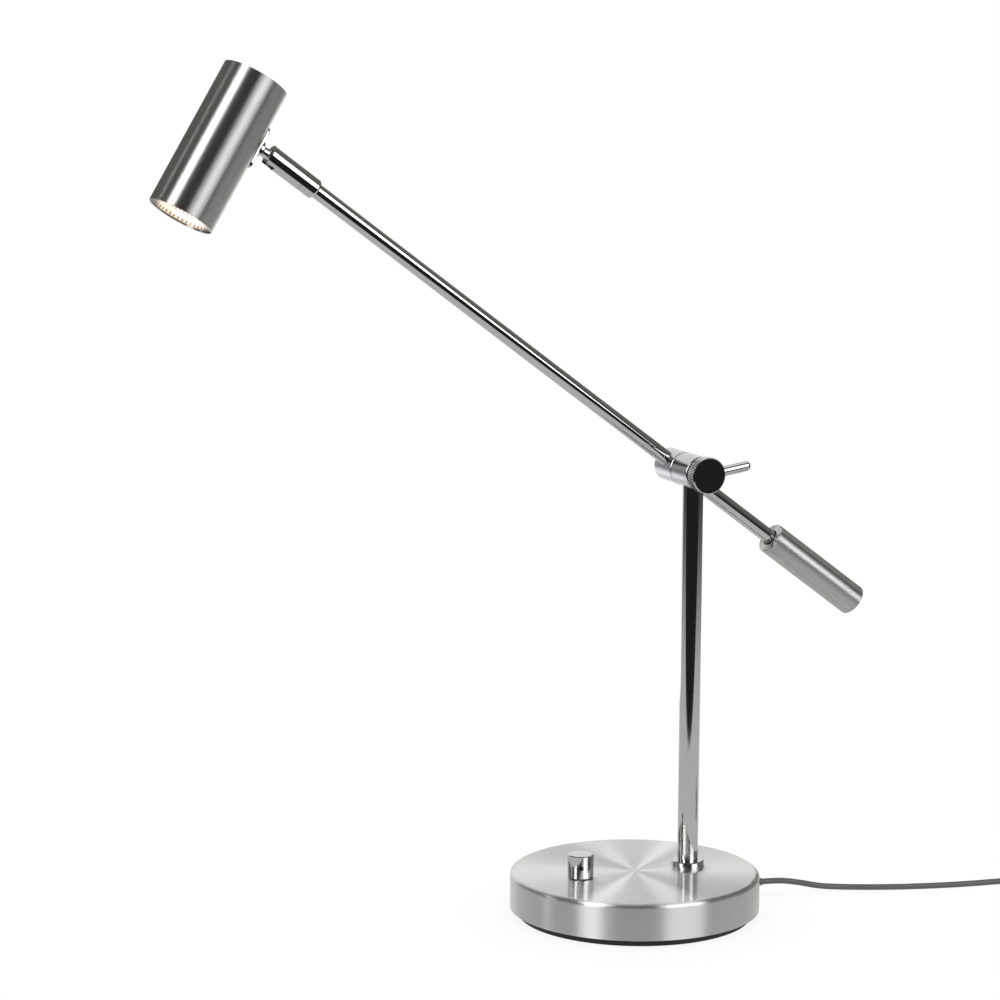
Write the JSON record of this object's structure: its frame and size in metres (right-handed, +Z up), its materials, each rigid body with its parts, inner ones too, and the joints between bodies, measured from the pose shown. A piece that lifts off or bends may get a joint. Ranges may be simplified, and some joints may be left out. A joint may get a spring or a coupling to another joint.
{
  "type": "counterweight balance desk lamp",
  "caption": "Desk lamp with a round dimmer base, an upright pole, a tilting counterweighted arm locked by a knurled clamp, and a cylinder spot head on a ball knuckle.",
  "frame": {"origin": "centre of the base's footprint, on the table", "axes": "+Z up; +X from the dimmer knob to the pole, with the lamp head out at -X; the clamp knob at the top of the pole faces -Y"},
  "size_m": [0.7971, 0.2824, 0.6828],
  "materials": {
    "brushed_steel": "radially brushed satin steel",
    "satin_shade": "satin, brushed along its length",
    "satin_weight": "satin, brushed along its length",
    "chrome": "polished chrome plate",
    "plated_steel": "zinc plated",
    "black_steel": "blackened steel",
    "cast_iron": "rough grey casting",
    "black_rubber": "matt black",
    "black_nylon": "matt black",
    "brass": "turned brass",
    "grey_pvc": "smooth grey sheath",
    "plug_pin": "nickel plated",
    "ceramic": "unglazed steatite",
    "reflector": "mirrored facets",
    "lamp_glass": "clear",
    "lit_capsule": "lit, warm white"
  },
  "bodies": {
    "base": {"base_cover": "brushed_steel", "base_weight": "cast_iron", "bottom_plate": "plated_steel", "bottom_plate_screws": "plated_steel", "foot_pad": "black_rubber", "cord_relief": "grey_pvc", "terminal_block": "black_nylon", "inner_mains_lead": "grey_pvc", "dimmer_lead": "grey_pvc", "dimmer_body": "black_nylon", "dimmer_washer": "plated_steel", "dimmer_nut": "plated_steel", "pole_tube": "chrome", "pole_collar": "chrome", "pole_foot_plug": "plated_steel", "pole_nipple": "plated_steel", "pole_washer": "plated_steel", "pole_nut": "plated_steel", "pole_lead": "grey_pvc", "pole_head": "chrome", "pivot_stud": "plated_steel", "seam_washer": "black_nylon", "disc_spring": "plated_steel", "clamp_washer": "black_nylon", "power_cord": "grey_pvc", "cord_coil": "grey_pvc", "plug_body": "grey_pvc", "plug_pins": "plug_pin"},
    "dimmer": {"dimmer_knob": "chrome", "dimmer_shaft": "plated_steel", "dimmer_set_screw": "black_steel"},
    "clamp": {"clamp_knob": "chrome", "clamp_lever": "chrome"},
    "arm": {"arm_hub": "chrome", "hub_end_cap": "chrome", "arm_grub_screw": "black_steel", "arm_tube": "chrome", "arm_lead": "grey_pvc", "counterweight": "satin_weight", "counterweight_grub_screw": "black_steel", "knuckle_sleeve": "chrome"},
    "knuckle": {"knuckle_housing": "chrome", "ball_cup": "brass", "ball_spring": "plated_steel"},
    "ball": {"ball_stem": "chrome", "stem_nut": "plated_steel"},
    "head": {"head_strip": "chrome", "bracket_screws": "chrome", "shade_tube": "satin_shade", "shade_cap": "satin_shade", "holder_bracket": "plated_steel", "holder_screw": "plated_steel", "lampholder": "ceramic", "lamp_reflector": "reflector", "lamp_front_glass": "lamp_glass", "lamp_base": "ceramic", "lamp_burner": "lit_capsule"}
  },
  "joints": [
    {"name": "arm_tilt", "type": "hinge", "parent": "base", "child": "arm", "pos_m": [0.0476, 0, 0.3561], "axis": [0, 1, 0], "range_deg": [-60, 45]},
    {"name": "clamp_turn", "type": "hinge", "parent": "base", "child": "clamp", "pos_m": [0.0476, 0, 0.3561], "axis": [0, -1, 0], "range_deg": [-15, 180]},
    {"name": "dimmer_turn", "type": "hinge", "parent": "base", "child": "dimmer", "pos_m": [-0.0485, 0, 0.045], "axis": [0, 0, 1], "range_deg": [-150, 150]},
    {"name": "head_swivel", "type": "hinge", "parent": "arm", "child": "knuckle", "pos_m": [-0.29529, 0.0275, 0.6089], "axis": [-0.8049, 0, 0.5934], "range_deg": [-160, 160]},
    {"name": "head_tilt", "type": "hinge", "parent": "knuckle", "child": "ball", "pos_m": [-0.29529, 0.0275, 0.6089], "axis": [0.0439, -0.9973, 0.0595], "range_deg": [-4, 66]},
    {"name": "head_roll", "type": "hinge", "parent": "ball", "child": "head", "pos_m": [-0.29529, 0.0275, 0.6089], "axis": [-0.8453, -0.0053, 0.5342], "range_deg": [-160, 160]}
  ]
}
